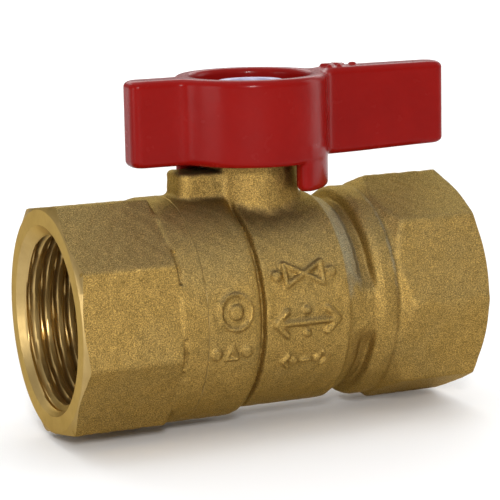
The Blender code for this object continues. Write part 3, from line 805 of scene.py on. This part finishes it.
def srgb(red, green, blue):
    """Linear colour from 0-255 screen values."""
    def line(value):
        value = value / 255
        return value / 12.92 if value <= 0.04045 else ((value + 0.055) / 1.055) ** 2.4
    return line(red), line(green), line(blue)


def forged_brass():
    """Shot-blasted forging: matt golden skin with fine grain, uneven tarnishing and painted sheen.
    """
    make = Nodes("forged_brass_skin")
    cloud = make.noise(110, 4, 0.6)
    mottle = make.noise(600, 4, 0.6)
    grain = make.noise(6500, 3, 0.7)
    gold = make.ramp(mottle, (0.35, (0.262, 0.170, 0.050)), (0.65, (0.308, 0.200, 0.061)))
    tarnish_and_sheen = make.mix(make.range(cloud, 0.45, 0.65, 0.0, 0.3), gold, (0.235, 0.172, 0.070))
    geometry = make.add("ShaderNodeNewGeometry")
    split = make.add("ShaderNodeSeparateXYZ")
    make.link(geometry.outputs["Normal"], split.inputs["Vector"])
    # Painted sheen: the more a face turns upward, the more it is mixed towards pale grey, a painted
    # reflection of the bright sky.
    painted_top_sheen = make.range(split.outputs["Z"], 0.25, 0.95, 0.0, 0.6)
    tarnish_and_sheen = make.mix(painted_top_sheen, tarnish_and_sheen, (0.185, 0.158, 0.088))
    where = make.add("ShaderNodeSeparateXYZ")
    make.link(make.place(), where.inputs["Vector"])
    # Painted reflection: faces turned towards +x and upward, past the band's start, are mixed
    # towards pale grey, standing in for the white surroundings they reflect.
    painted_band_sheen = make.range(split.outputs["X"], 0.12, 0.4, 0.0, 0.75)
    painted_band_sheen = make.maths("MULTIPLY", painted_band_sheen, make.range(split.outputs["Z"], 0.05, 0.4, 0.0, 1.0))
    beyond = make.range(where.outputs["X"], (BAND_X - 0.4) * MM, BAND_X * MM, 0.0, 1.0)
    painted_band_sheen = make.maths("MULTIPLY", painted_band_sheen, beyond)
    tarnish_and_sheen = make.mix(painted_band_sheen, tarnish_and_sheen, (0.33, 0.31, 0.225))
    speckle = make.ramp(grain, (0.36, (0.50, 0.47, 0.38)), (0.5, (0.95, 0.94, 0.91)),
                        (0.64, (1.85, 1.76, 1.48)))
    colour = make.mix(1.0, tarnish_and_sheen, speckle, "MULTIPLY")
    rough = make.range(grain, 0.38, 0.62, 0.50, 0.34)
    normal = make.bump(grain, 0.00010, 0.85)
    normal = make.bump(mottle, 0.00012, 0.3, normal)
    make.set(Metallic=0.92, IOR=1.5, Specular_Tint=(0.72, 0.6, 0.38, 1))
    make.drive(Base_Color=colour, Roughness=rough, Normal=normal)
    return make.material


def machined_brass():
    """Turned brass: brighter, smoother, with fine tool lines."""
    make = Nodes("turned_brass")
    cloud = make.noise(200, 4, 0.6)
    lines = make.noise(900, 3, 0.5, (6.0, 1.0, 1.0))
    colour = make.ramp(cloud, (0.3, (0.37, 0.255, 0.098)), (0.7, (0.45, 0.315, 0.125)))
    stains = make.noise(500, 4, 0.6)
    colour = make.mix(make.range(stains, 0.5, 0.8, 0.0, 0.2), colour, (0.25, 0.165, 0.06))
    rough = make.range(make.noise(500, 3, 0.6), 0.3, 0.7, 0.32, 0.4)
    make.set(Metallic=1.0, Specular_Tint=(0.72, 0.6, 0.38, 1))
    make.drive(Base_Color=colour, Roughness=rough, Normal=make.bump(lines, 0.00003, 0.5))
    return make.material


def handle_paint():
    """Glossy red enamel over a die casting, with a slight orange peel."""
    make = Nodes("red_enamel")
    cloud = make.noise(120, 4, 0.6)
    colour = make.ramp(cloud, (0.3, (0.182, 0.003, 0.002)), (0.7, (0.214, 0.004, 0.0026)))
    wear = make.mix(make.noise(1500, 3, 0.6), (0.24, 0.009, 0.006), (0.29, 0.018, 0.013))
    colour = make.mix(make.edges(0.58, 0.68), colour, wear)
    peel = make.noise(900, 2, 0.5)
    rough = make.range(make.noise(500, 3, 0.5), 0.3, 0.7, 0.2, 0.28)
    make.set(Coat_Weight=0.03, Coat_Roughness=0.03, IOR=1.18)
    make.drive(Base_Color=colour, Roughness=rough, Normal=make.bump(peel, 0.00006, 0.5))
    return make.material


def plain_skin(name, tones, rough, cloud_scale, rough_scale, bump, **values):
    """Clouded colour between two tones, uneven gloss and a fine bump."""
    make = Nodes(name)
    cloud = make.noise(cloud_scale, 4, 0.6)
    colour = make.ramp(cloud, (0.3, srgb(*tones[0])), (0.7, srgb(*tones[1])))
    gloss = make.range(make.noise(rough_scale, 4, 0.6), 0.3, 0.7, *rough)
    scale, distance, strength = bump
    make.set(**values)
    make.drive(Base_Color=colour, Roughness=gloss,
               Normal=make.bump(make.noise(scale, 3, 0.5), distance, strength))
    return make.material


MATERIALS = {
    "forged_brass": forged_brass(),
    "machined_brass": machined_brass(),
    "handle_paint": handle_paint(),
    "zinc_plate": plain_skin("zinc_plating", ((150, 150, 180), (180, 180, 205)), (0.34, 0.48),
                             500, 1200, (2500, 0.00003, 0.5), Metallic=0.55),
    "chromed_ball": plain_skin("hard_chrome", ((200, 203, 208), (226, 228, 231)), (0.08, 0.16),
                               180, 900, (3000, 0.00001, 0.5), Metallic=1.0),
    "seat_plastic": plain_skin("white_seat_plastic", ((222, 221, 214), (240, 239, 234)), (0.36, 0.5),
                               300, 900, (1800, 0.00003, 0.4),
                               Subsurface_Weight=0.15, Subsurface_Scale=0.001, IOR=1.38),
    "nitrile": plain_skin("black_rubber", ((22, 22, 24), (38, 38, 40)), (0.45, 0.62),
                          400, 1500, (3500, 0.00003, 0.5)),
}


def dress(item, body, node, slot, *more):
    """Give a piece its materials, its body and the CAD node it stands for."""
    item.data.materials.clear()
    for name in (slot, *more):
        item.data.materials.append(MATERIALS[name])
    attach(item, body)
    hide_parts(node)


def machine_faces(item, is_machined):
    """Second material on faces whose centre and normal the rule accepts."""
    mesh = item.data
    count = len(mesh.polygons)
    centres = np.empty(count * 3)
    normals = np.empty(count * 3)
    mesh.polygons.foreach_get("center", centres)
    mesh.polygons.foreach_get("normal", normals)
    centres = centres.reshape(-1, 3) / MM
    chosen = is_machined(centres, normals.reshape(-1, 3))
    mesh.polygons.foreach_set("material_index", chosen.astype(np.int32))
    mesh.update()


# ---- the pieces ----------------------------------------------------------------------
BODY_STEP = 0.31
HANDLE_STEP = 0.24
SPIN = 240
STEM_SPIN = 96
SEAM_GAP = 0.04


def bored(centre, normal):
    """True for faces of the bore: they face the pipe axis or lie well inside the wall."""
    radius = np.hypot(centre[:, 1], centre[:, 2])
    inward = (centre[:, 1] * normal[:, 1] + centre[:, 2] * normal[:, 2]) / radius
    return ((radius < MOUTH_R + MOUTH_MARGIN) & (inward < -0.05)) | (radius < NECKING_R - 0.7)


def face_end(item, face_x, inward, flat_radius, far):
    """Turn an end face flat and chamfer the octagon's corners there."""
    outside = face_x - inward * FACING_SPAN
    outline = [(outside, 1), (face_x, 1), (face_x, flat_radius - FACE_LIP),
               (face_x + inward * FACE_CHAMFER, flat_radius + 0.45),
               (face_x + inward * 2.0, far), (outside, far)]
    carve(item, hollow_turned("facing", outline, "X", SPIN), "DIFFERENCE")


def make_body():
    low = (SEAM_X - 2, -RING_R - 1.2, -RING_R - 1.2)
    high = (OUTLET_X + 2, RING_R + 1.2, BOSS_TOP_Z + 1.5)
    item = field_object("body_forging", body_field, low, high, BODY_STEP)
    far = RING_R + 4
    seam = [(SEAM_X - FACING_SPAN, 1), (SEAM_X, 1), (SEAM_X, RING_R - TURNING_EDGE),
            (SEAM_X + 0.2, RING_R + 0.2), (SEAM_X + 0.2, far), (SEAM_X - FACING_SPAN, far)]
    carve(item, hollow_turned("seam_facing", seam, "X", SPIN), "DIFFERENCE")
    face_end(item, OUTLET_X, -1, OUTLET_FLAT_R, far)
    rows = [(SEAM_X - 3, JOINT_R), (JOINT_STEP_X, JOINT_R)]
    rows += [(JOINT_STEP_X, CAVITY_R), (SEAT_FRONT_X + 0.4, CAVITY_R)]
    rows += [(SEAT_FRONT_X + 0.4, POCKET_R), (POCKET_X, POCKET_R), (POCKET_X, WATERWAY_R)]
    rows += list(reversed(socket_rows(OUTLET_X, -1)))
    carve(item, turned("body_bore", rows, "X", SPIN, pipe_thread), "DIFFERENCE")
    rows = [(0, COUNTERBORE_R), (SHOULDER_Z, COUNTERBORE_R), (SHOULDER_Z, STEM_BORE_R)]
    rows += [(BOSS_TOP_Z - 0.4, STEM_BORE_R), (BOSS_TOP_Z, STEM_BORE_R + 0.4)]
    rows += [(BOSS_TOP_Z, BOSS_R - 0.1), (BOSS_TOP_Z + 5, BOSS_R + 4)]
    carve(item, turned("stem_bore", rows, "Z", STEM_SPIN), "DIFFERENCE")
    crisp(item, 32)
    dress(item, "housing", "valve_body", "forged_brass", "machined_brass")

    def machined(centre, normal):
        stem_radius = np.hypot(centre[:, 0], centre[:, 1])
        inside = bored(centre, normal)
        ends = (np.abs(normal[:, 0]) > 0.5) & (
            (centre[:, 0] > OUTLET_X - 0.6) | (centre[:, 0] < SEAM_X + 0.16))
        top = (centre[:, 2] > 12.3) & (stem_radius < BOSS_R + 0.2) & (
            (stem_radius < COUNTERBORE_R + 0.1) | (centre[:, 2] > BOSS_TOP_Z - 0.05))
        return inside | ends | top
    machine_faces(item, machined)


def make_connector():
    low = (INLET_X - 2, -RING_R - 1.5, -RING_R - 1.5)
    high = (TAIL_X + 2, RING_R + 1.5, RING_R + 1.5)
    item = field_object("connector_forging", connector_field, low, high, BODY_STEP)
    far = RING_R + 6
    back = SEAM_X - SEAM_GAP
    beyond = TAIL_X + FACING_SPAN
    tail = [(back, RING_R - TURNING_EDGE), (back, TAIL_R), (TAIL_X - 0.4, TAIL_R),
            (TAIL_X, TAIL_R - 0.4), (TAIL_X, 1), (beyond, 1), (beyond, far),
            (back - 0.2, far), (back - 0.2, RING_R + 0.2)]
    carve(item, hollow_turned("tail_turning", tail, "X", SPIN), "DIFFERENCE")
    face_end(item, INLET_X, 1, INLET_FLAT_R, far)
    rows = socket_rows(INLET_X, 1)
    rows += [(-POCKET_X, WATERWAY_R), (-POCKET_X, POCKET_R), (TAIL_X + 3, POCKET_R)]
    carve(item, turned("connector_bore", rows, "X", SPIN, pipe_thread), "DIFFERENCE")
    crisp(item, 32)
    dress(item, "housing", "end_connector", "forged_brass", "machined_brass")

    def machined(centre, normal):
        ends = (np.abs(normal[:, 0]) > 0.5) & (
            (centre[:, 0] < INLET_X + 0.6) | (centre[:, 0] > SEAM_X - 0.3))
        return bored(centre, normal) | ends | (centre[:, 0] > SEAM_X)
    machine_faces(item, machined)


def make_handle():
    low = (-SHORT_WING - 1, -HUB_R - 1, TAB_BOTTOM_Z - 1)
    high = (LONG_WING + 1, HUB_R + 1, WING_TOP_Z + 1.5)
    item = field_object("t_handle_casting", handle_field, low, high, HANDLE_STEP)
    crisp(item, 60)
    dress(item, "handle_and_stem", "t_handle", "handle_paint")


def section_ring(name, body, node, slot, outline, axis, sides=SPIN):
    """A ring spun from a closed section, standing for its CAD node."""
    item = hollow_turned(name, outline, axis, sides)
    crisp(item, 40)
    dress(item, body, node, slot)


def arc_points(centre, radius, start, end, steps):
    """(place, radius) points on an arc; angles in degrees from the axis direction."""
    points = []
    for step in range(steps + 1):
        angle = math.radians(start + (end - start) * step / steps)
        points.append((centre[0] + radius * math.cos(angle), centre[1] + radius * math.sin(angle)))
    return points


def block(name, low, high):
    """Closed box for cuts and joins."""
    bm = bmesh.new()
    bmesh.ops.create_cube(bm, size=1)
    for vert in bm.verts:
        corner = [lo if part < 0 else hi for part, lo, hi in zip(vert.co, low, high)]
        vert.co = Vector(corner) * MM
    return finish_bmesh(name, bm)


def make_ball():
    """Chromed ball: bored through, rounded bore edges, and a slot for the stem's tang."""
    edge = 0.25
    turn = math.degrees(math.asin((BORE_R + edge) / BALL_R))
    outline = arc_points((0, 0), BALL_R, 180 - turn, turn, 72)
    half = outline[-1][0]
    outline += [(half - edge, BORE_R), (edge - half, BORE_R)]
    item = hollow_turned("chromed_ball", outline, "X", SPIN)
    past = BALL_R + 1
    slot = block("slot", (-SLOT_HALF, -past, SLOT_FLOOR_Z), (SLOT_HALF, past, past))
    carve(item, slot, "DIFFERENCE")
    crisp(item, 35)
    dress(item, "ball", "ball", "chromed_ball")


def make_seats():
    sphere = BALL_R + FIT_GAP
    inner = BORE_R + 2 * WATERWAY_GAP
    start = math.degrees(math.acos(SEAT_FRONT_X / sphere))
    end = math.degrees(math.asin(inner / sphere))
    for name, side in (("seat_ring_inlet", -1), ("seat_ring_outlet", 1)):
        outline = arc_points((0, 0), sphere, start, end, 16)
        outline += [(SEAT_BACK_X - 0.2, inner), (SEAT_BACK_X, inner + 0.2)]
        outline += [(SEAT_BACK_X, SEAT_R - 0.3), (SEAT_BACK_X - 0.3, SEAT_R)]
        outline += [(SEAT_FRONT_X + 0.2, SEAT_R), (SEAT_FRONT_X, SEAT_R - 0.2)]
        outline = [(side * place, radius) for place, radius in outline]
        section_ring(name + "_turned", "housing", name, "seat_plastic", outline, "X")


def make_seal():
    low, high = SEAL_LOW[0], SEAL_HIGH[0]
    outline = [(low, CAVITY_R + 0.1), (low + 0.1, CAVITY_R), (high - 0.1, CAVITY_R),
               (high, CAVITY_R + 0.1), (high, TAIL_R - 0.1), (high - 0.1, TAIL_R),
               (low + 0.1, TAIL_R), (low, TAIL_R - 0.1)]
    section_ring("joint_seal_ring", "housing", "body_joint_seal", "seat_plastic", outline, "X")


def make_stem():
    """Stem: flange, two O-ring grooves, driving flats and a threaded end."""
    flange_r = COUNTERBORE_R - FIT_GAP
    edge_r, flange_top = flange_r - FLANGE_EDGE, FLANGE_Z + FLANGE_THICKNESS
    rows = [(FLANGE_Z, edge_r), (FLANGE_Z + FLANGE_EDGE, flange_r)]
    rows += [(flange_top - FLANGE_EDGE, flange_r), (flange_top, edge_r), (flange_top, STEM_R)]
    floor_r = STEM_R - ORING_GROOVE_DEPTH
    for centre in ORING_PLACES:
        low, high = centre - ORING_HALF_GROOVE, centre + ORING_HALF_GROOVE
        rows += [(low, STEM_R), (low, floor_r), (high, floor_r), (high, STEM_R)]
    rows += [(BOSS_TOP_Z - 0.2, STEM_R), (BOSS_TOP_Z, STEM_R - 0.2), (BOSS_TOP_Z, SCREW_R)]
    top = STEM_HIGH[2]
    start, end = WASHER_LOW[2] - FIT_GAP, top - SCREW_CHAMFER
    steps = 80
    for step in range(steps + 1):
        place = start + (end - start) * step / steps
        rows.append((place, SCREW_R, min(1.0, step / 6, (steps - step) / 6)))
    rows += [(top, SCREW_R - SCREW_CHAMFER)]
    item = turned("stem_turned", rows, "Z", STEM_SPIN, screw_thread(SCREW_DEPTH))
    drive_r = STEM_R - DRIVE_STEP
    drive_rows = [(BOSS_TOP_Z - 0.5, drive_r), (FLOOR_TOP_Z - 0.2, drive_r)]
    drive = turned("drive", drive_rows, "Z", STEM_SPIN)
    flat = DRIVE_FLAT
    keep = block("flats", (-flat, -STEM_R, BOSS_TOP_Z - 1), (flat, STEM_R, FLOOR_TOP_Z + 1))
    carve(drive, keep, "INTERSECT")
    carve(item, drive, "UNION")
    half = SLOT_HALF - FIT_GAP
    tang = block("tang", (-half, -STEM_R, STEM_LOW[2]), (half, STEM_R, FLANGE_Z + 0.5))
    carve(item, tang, "UNION")
    crisp(item, 35)
    dress(item, "handle_and_stem", "stem", "machined_brass")


def make_stem_seals():
    low, high = span("stem_thrust_washer")
    bottom, top, outer, edge = low[2], high[2], high[0], 0.05
    outline = [(bottom, STEM_BORE_R), (bottom, outer - edge), (bottom + edge, outer),
               (top - edge, outer), (top, outer - edge), (top, STEM_BORE_R)]
    section_ring("thrust_washer", "handle_and_stem", "stem_thrust_washer", "seat_plastic",
                 outline, "Z", STEM_SPIN)
    for node in ("stem_o_ring_lower", "stem_o_ring_upper"):
        low, high = span(node)
        section = (high[2] - low[2]) / 2
        outline = arc_points(((low[2] + high[2]) / 2, high[0] - section), section, 0, 345, 23)
        section_ring(node + "_moulded", "handle_and_stem", node, "nitrile", outline, "Z",
                     STEM_SPIN)


def make_lock_washer():
    """Split spring washer: a ring of square wire, cut through."""
    low, high = WASHER_LOW[2], WASHER_HIGH[2]
    inner, outer = SCREW_R + FIT_GAP, WASHER_HIGH[0]
    outline = [(low, inner + 0.1), (low + 0.1, inner), (high - 0.1, inner), (high, inner + 0.1),
               (high, outer - 0.12), (high - 0.12, outer), (low + 0.12, outer), (low, outer - 0.12)]
    item = hollow_turned("split_washer", outline, "Z", STEM_SPIN)
    slit = block("slit", (inner - 1, -0.25, low - 1), (outer + 1, 0.25, high + 1))
    slit.data.transform(Matrix.Rotation(math.radians(-50), 4, "Z"))
    carve(item, slit, "DIFFERENCE")
    crisp(item, 30)
    dress(item, "handle_and_stem", "handle_lock_washer", "zinc_plate")


def make_nut():
    """Hexagon nut: chamfered both ends, with a countersunk threaded hole."""
    low, high = NUT_LOW[2], NUT_HIGH[2]
    corner = NUT_HIGH[0]
    flat = corner * math.cos(math.radians(30))
    bm = bmesh.new()
    rings = []
    for place in (low - 1, high + 1):
        ring = []
        for side in range(6):
            angle = math.radians(60 * side)
            point = Vector((corner * math.cos(angle), corner * math.sin(angle), place))
            ring.append(bm.verts.new(point * MM))
        rings.append(ring)
    for side in range(6):
        after = (side + 1) % 6
        bm.faces.new((rings[0][side], rings[0][after], rings[1][after], rings[1][side]))
    bm.faces.new(rings[0])
    bm.faces.new(rings[1])
    item = finish_bmesh("hexagon_nut", bm)
    lip, wide = flat - 0.15, corner + 0.3
    slope = (wide - lip) * math.tan(math.radians(30))
    blank = [(low, lip), (low + slope, wide), (high - slope, wide), (high, lip)]
    carve(item, turned("chamfer", blank, "Z", STEM_SPIN), "INTERSECT")
    hole = SCREW_R + 0.12
    sink = 0.4
    rows = [(low - 1, hole + sink + 1), (low + sink, hole)]
    steps = 48
    for step in range(steps + 1):
        place = low + sink + (high - low - 2 * sink) * step / steps
        rows.append((place, hole, min(1.0, step / 4, (steps - step) / 4)))
    rows += [(high + 1, hole + sink + 1)]
    carve(item, turned("hole", rows, "Z", STEM_SPIN, screw_thread(NUT_THREAD_DEPTH)), "DIFFERENCE")
    crisp(item, 25)
    dress(item, "handle_and_stem", "handle_nut", "zinc_plate")


make_body()
make_connector()
make_handle()
make_ball()
make_seats()
make_seal()
make_stem()
make_stem_seals()
make_lock_washer()
make_nut()


# ---- stage: camera, floor and lights -------------------------------------------------
FLOOR_LEVEL = -17.6     # just under the connector's corners
CAMERA_PLACE = Vector((-125.75, -285.18, 64.0))
CAMERA_TURN, CAMERA_DIP, CAMERA_ROLL = 23.7, 10.3, 1.13
CAMERA_LENS = 154.2


def make_stage():
    size = 3000
    corners = [(x * size, y * size, FLOOR_LEVEL) for x, y in ((-1, -1), (1, -1), (1, 1), (-1, 1))]
    floor = mesh_object("studio_floor", corners, [(0, 1, 2, 3)])
    pale = Nodes("studio_floor")
    tone = pale.ramp(pale.noise(3, 2, 0.5), (0.3, (0.88, 0.88, 0.88)), (0.7, (0.91, 0.91, 0.91)))
    pale.set(Roughness=0.7)
    pale.drive(Base_Color=tone)
    floor.data.materials.append(pale.material)


def make_light(name, place, aim, width, height, power):
    light = bpy.data.lights.new(name, "AREA")
    light.shape = "RECTANGLE"
    light.size = width * MM
    light.size_y = height * MM
    light.energy = power
    item = bpy.data.objects.new(name, light)
    item.location = Vector(place) * MM
    item.rotation_euler = (Vector(aim) - Vector(place)).to_track_quat("-Z", "Y").to_euler()
    bpy.context.scene.collection.objects.link(item)


def make_world():
    """White studio, brightest overhead and dimmer towards the horizon."""
    world = bpy.data.worlds.new("studio")
    world.use_nodes = True
    tree = world.node_tree
    place = tree.nodes.new("ShaderNodeTexCoord")
    split = tree.nodes.new("ShaderNodeSeparateXYZ")
    ramp = tree.nodes.new("ShaderNodeValToRGB")
    tree.links.new(place.outputs["Generated"], split.inputs["Vector"])
    tree.links.new(split.outputs["Z"], ramp.inputs["Fac"])
    for element, (height, tone) in zip(ramp.color_ramp.elements, ((0.0, 0.3), (0.8, 0.85))):
        element.position = height
        element.color = (tone, tone, tone, 1)
    background = tree.nodes["Background"]
    tree.links.new(ramp.outputs["Color"], background.inputs["Color"])
    background.inputs["Strength"].default_value = 1.0
    bpy.context.scene.world = world


def make_camera():
    turn, dip, roll = (math.radians(a) for a in (CAMERA_TURN, CAMERA_DIP, CAMERA_ROLL))
    ahead = Vector((math.sin(turn) * math.cos(dip), math.cos(turn) * math.cos(dip),
                    -math.sin(dip)))
    right = Vector((math.cos(turn), -math.sin(turn), 0))
    up = right.cross(ahead)
    side = right * math.cos(roll) - up * math.sin(roll)
    top = up * math.cos(roll) + right * math.sin(roll)
    camera = bpy.data.cameras.new("photo_camera")
    camera.sensor_width = 36
    camera.lens = CAMERA_LENS
    camera.clip_start = 0.01
    item = bpy.data.objects.new("photo_camera", camera)
    rows = [(*row, place * MM) for row, place in zip(zip(side, top, -ahead), CAMERA_PLACE)]
    item.matrix_world = Matrix((*rows, (0, 0, 0, 1)))
    bpy.context.scene.collection.objects.link(item)
    bpy.context.scene.camera = item


make_camera()
make_stage()
make_world()
make_light("key", (-150, -400, 170), (0, 0, 5), 70, 70, 1.2)
make_light("left_fill", (-430, -60, 60), (0, 0, 0), 220, 160, 0.4)
make_light("right_panel", (380, -20, 130), (0, 0, 5), 160, 300, 0.4)
make_light("overhead", (0, 60, 420), (0, 0, 0), 300, 300, 0.25)
make_light("backdrop", (350, 1000, 520), (350, 1000, 0), 1500, 1000, 10.0)
bpy.context.scene.view_settings.view_transform = "Standard"
